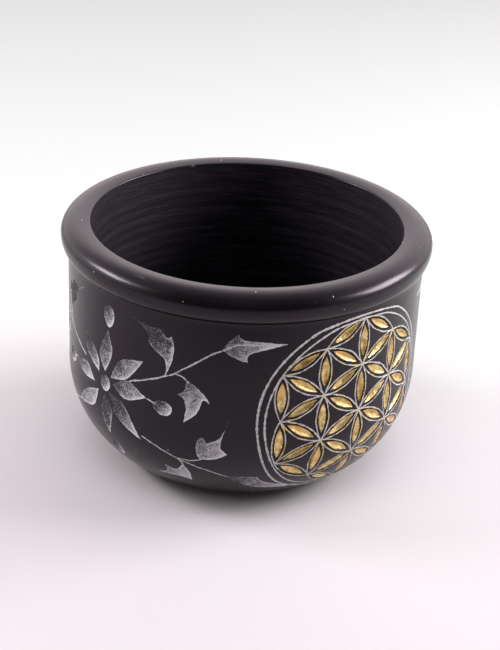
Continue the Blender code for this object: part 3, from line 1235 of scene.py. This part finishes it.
def insideClay():
    # the unpolished inside, with level streaks of the brush that fade out towards the bottom as painted
    # shade
    material, tree, shader, spot = newMaterial("insideClay", {
        "Roughness": 0.66, "Specular IOR Level": 0.44, "Specular Tint": (0.95, 0.80, 1.0, 1.0)})
    look = insideLook
    grain = useGroup(tree, clayGrain, {"Position": spot, "Dark": look["dark"], "Light": look["light"]})
    streak = useGroup(tree, wheelLines, {"Position": spot, **look["lines"]})["Streak"]
    # painted shade: the streaks fade out deeper in the pot
    paintedShadeFade = stretch(tree, apart(tree, spot)[2], *look["paintedShadeFade"], look["floorShare"], 1.0)
    broad = product(tree, stretch(tree, streak, 0.40, 1.0), paintedShadeFade)
    tree.links.new(blend(tree, broad, grain["Color"], look["streak"]), shader.inputs["Base Color"])
    bumped(tree, shader, streak, *look["bump"])
    return material


goldLook = {
    "deep": (0.13, 0.075, 0.022, 1.0),
    "mid": (0.46, 0.305, 0.09, 1.0),
    "bright": (0.92, 0.76, 0.39, 1.0),
    "copper": (0.73, 0.45, 0.155, 1.0),
    "copperShare": 0.75,
    "roughness": (0.24, 0.42),
    "wear": {"Size": 0.00050, "Softness": 0.40},
    "cover": (0.98, 0.48),       # of the gold, in the middle of a petal and at its edge
    "bump": (0.32, 0.00025),
}


def goldPaint():
    material, tree, shader, spot = newMaterial("goldPaint", {"Metallic": 0.80})
    look = goldLook
    mottled = cloud(tree, spot, 480.0, 4.0, 0.65)
    thin = stretch(tree, painted(tree, "edgeward"), 0.66, 1.0, *look["cover"])
    marks = useGroup(tree, handScratches, {"Position": spot, "Cover": thin, **look["wear"]})
    leaf = blend(tree, stretch(tree, mottled, 0.40, 0.64), look["mid"], look["bright"])
    redder = stretch(tree, cloud(tree, spot, 150.0, 1.0), 0.45, 0.68, 0.0, look["copperShare"])
    warm = blend(tree, redder, leaf, look["copper"])
    tree.links.new(blend(tree, marks["Mask"], look["deep"], warm), shader.inputs["Base Color"])
    tree.links.new(stretch(tree, mottled, 0.3, 0.7, *look["roughness"]), shader.inputs["Roughness"])
    bumped(tree, shader, marks["Height"], *look["bump"])
    return material


clays = [burnishedClay(), scratchedClay(), cutClay(), insideClay()]
gold = goldPaint()
print("finishes ready")


# The pieces.

def sharpWhereCarved(mesh):
    # the polished wall keeps its true roundness, and its edges stay crisp against the marks
    finish = [0] * len(mesh.polygons)
    mesh.attributes["finish"].data.foreach_get("value", finish)
    facing = mesh.attributes["facing"].data
    mesh.shade_smooth()
    normals = [(0.0, 0.0, 0.0)] * len(mesh.loops)
    edgeFinish = {}
    for polygon in mesh.polygons:
        own = finish[polygon.index]
        for key in polygon.edge_keys:
            edgeFinish.setdefault(key, set()).add(own)
        if own == burnished:
            for loop in polygon.loop_indices:
                normals[loop] = tuple(facing[mesh.loops[loop].vertex_index].vector)
    for edge in mesh.edges:
        if len(edgeFinish.get(edge.key, ())) > 1:
            edge.use_edge_sharp = True
    mesh.normals_split_custom_set(normals)


def latticeMesh(centre):
    # the lattice as loose edges on the flat sheet
    points = [
        (x * mm, (neckRun + centre[1] + y - potShape["neckHeight"]) * mm, 0.0)
        for edge in latticeEdges() for x, y in edge]
    mesh = bpy.data.meshes.new("lattice")
    mesh.from_pydata(points, [(i, i + 1) for i in range(0, len(points), 2)], [])
    return mesh


curve = sectionCurve()
wrap = wrapOnPot()
onWall = {"Section Curve": curve, "Wall Radius": potShape["wallRadius"] * mm}
pot = grown("black_clay_pot", skinMesh, thrownPot(wrap, clays), onWall)
sharpWhereCarved(pot.data)
print("pot:", len(pot.data.polygons), "faces")
petalTree = gildedMedallion(wrap)
frontGold, backGold = (
    grown(name, latticeMesh(centre), petalTree, {
        **goldWork, **onWall, "Material": gold, "Seed": goldWork["Seed"] + number,
        "Centre Bearing": centre[0] / potShape["wallRadius"]})
    for number, (name, centre) in enumerate(
        zip(("front_gold_petals", "back_gold_petals"), medallionCentres)))
print("gold petals:", len(frontGold.data.polygons) + len(backGold.data.polygons), "faces")
bpy.data.objects.remove(curve)

for piece, slotName in (
        (pot, "burnished_black_clay"), (frontGold, "gold_fill"), (backGold, "gold_fill")):
    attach(piece, "root")
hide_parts("pot_body")
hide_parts(*goldNodes)


# The studio: white paper, a pale tent open towards the viewer, two softboxes and two fills.

studio = {
    "floorSize": 9.0,
    # the paper's colour on the left, darkened there as the pot's painted shadow
    "paper": (0.448, 0.400, 0.428, 1.0),
    # painted light and shade on the paper along x or y (0 or 1): from where, to where, and its colour;
    # paler to the right and towards the back as painted light
    "paperPaintedLightAndShade": [
        (0, -0.12, 0.14, (0.476, 0.455, 0.470, 1.0)),
        (1, -0.03, 0.14, (0.460, 0.467, 0.464, 1.0)),
        (1, -0.04, -0.10, (0.425, 0.392, 0.412, 1.0)),
        (1, -0.12, -0.26, (0.09, 0.082, 0.088, 1.0)),     # painted shade: the paper darkens far in front
    ],
    "tentColor": (1.0, 0.98, 0.99, 1.0),
    "backColor": (1.0, 0.91, 0.95, 1.0),
    "horizon": 1.58,
    "zenith": 0.62,
    "backPanel": 2.42,            # the brightest part, and how it fades: up, down and sideways
    "panelFoot": (0.22, 0.50),
    "panelTop": (0.90, 0.80),
    "panelSides": (0.46, 0.72),
    "rearWay": (0.342, 0.940, 0.0),
    "openingWay": (0.0, -0.82, 0.57),
    "opening": (0.08, 0.78),
    "openingGlow": 0.04,
    "lightTarget": (0.0, 0.0, 0.06),
}

# each light: bearing and rise in degrees, distance, size, power, and whether the polish mirrors it
studioLights = {
    "leftSoftbox": (-94, 34, 0.80, (0.32, 0.14), 4.6, True),
    "rightSoftbox": (98, 29.5, 0.80, (0.50, 0.28), 9.2, True),
    "frontFill": (-12, 58, 1.10, (1.1, 0.8), 8.0, False),
    "topFill": (40, 74, 1.10, (1.1, 0.8), 4.6, False),
}

cameraView = {
    "distance": 0.4913,
    "elevation": 26.65,
    "target": (0.0022, 0.0, 0.0401),
    "roll": 2.74,
    "lens": 88.95,
    "sensor": 36.0,
}


def makeFloor():
    half = studio["floorSize"] / 2
    mesh = bpy.data.meshes.new("studio_floor")
    corners = [(-half, -half, 0), (half, -half, 0), (half, half, 0), (-half, half, 0)]
    mesh.from_pydata(corners, [], [(0, 1, 2, 3)])
    floor = newObject("studio_floor", mesh)
    material, tree, shader, spot = newMaterial("studioPaperPaintedShade", {
        "Roughness": 0.8, "Specular IOR Level": 0.15})
    here, paper = apart(tree, spot), studio["paper"]
    # painted light and shade: darker on the left as the pot's painted shadow, paler at the back, darker
    # far in front
    for axis, start, end, colour in studio["paperPaintedLightAndShade"]:
        paper = blend(tree, stretch(tree, here[axis], start, end), paper, colour)
    tree.links.new(paper, shader.inputs["Base Color"])
    mesh.materials.append(material)


def smooth(tree, value, low, high):
    return stretch(tree, value, low, high, interpolation_type="SMOOTHSTEP")


def makeSky():
    # pale all round, brightest low at the back, dark where the viewer stands
    world = bpy.data.worlds.new("whiteTent")
    bpy.context.scene.world = world
    world.use_nodes = True
    tree = world.node_tree
    background = tree.nodes["Background"].inputs
    way = place(tree, "ShaderNodeTexCoord").outputs["Generated"]
    height = apart(tree, way)[2]
    rear = vectorMaths(tree, "DOT_PRODUCT", way, studio["rearWay"], output="Value")
    front = vectorMaths(tree, "DOT_PRODUCT", way, studio["openingWay"], output="Value")
    glow = between(tree, smooth(tree, height, 0.2, 0.92), studio["horizon"], studio["zenith"])
    foot, top = (smooth(tree, height, *studio[name]) for name in ("panelFoot", "panelTop"))
    panel = product(tree, product(tree, foot, top), smooth(tree, rear, *studio["panelSides"]))
    lit = maths(tree, "MULTIPLY_ADD", panel, studio["backPanel"] - studio["horizon"], glow)
    seen = between(tree, smooth(tree, front, *studio["opening"]), lit, studio["openingGlow"])
    tint = blend(tree, smooth(tree, rear, -0.3, 0.5), studio["tentColor"], studio["backColor"])
    tree.links.new(tint, background["Color"])
    tree.links.new(seen, background["Strength"])


def makeLight(name, bearing, rise, distance, size, power, mirrored):
    # a rectangular light that faces the pot
    light = bpy.data.lights.new(name, "AREA")
    light.shape = "RECTANGLE"
    light.size, light.size_y = size
    light.energy = power
    lamp = newObject(name, light)
    turn, up = math.radians(bearing), math.radians(rise)
    way = Vector((math.sin(turn) * math.cos(up), -math.cos(turn) * math.cos(up), math.sin(up)))
    lamp.location = Vector(studio["lightTarget"]) + way * distance
    lamp.rotation_euler = (-way).to_track_quat("-Z", "Y").to_euler()
    lamp.visible_glossy = mirrored


def makeCamera():
    view = cameraView
    camera = newObject("camera", bpy.data.cameras.new("camera"))
    camera.data.lens = view["lens"]
    camera.data.sensor_width = view["sensor"]
    camera.data.clip_start = 0.01
    rise = math.radians(view["elevation"])
    target = Vector(view["target"])
    camera.location = target + Vector((0.0, -math.cos(rise), math.sin(rise))) * view["distance"]
    look = (target - camera.location).to_track_quat("-Z", "Y").to_matrix().to_4x4()
    camera.rotation_euler = (look @ Matrix.Rotation(math.radians(view["roll"]), 4, "Z")).to_euler()
    bpy.context.scene.camera = camera


makeFloor()
makeSky()
makeCamera()
for name, setting in studioLights.items():
    makeLight(name, *setting)
bpy.context.scene.view_settings.view_transform = "Standard"
print("studio ready")
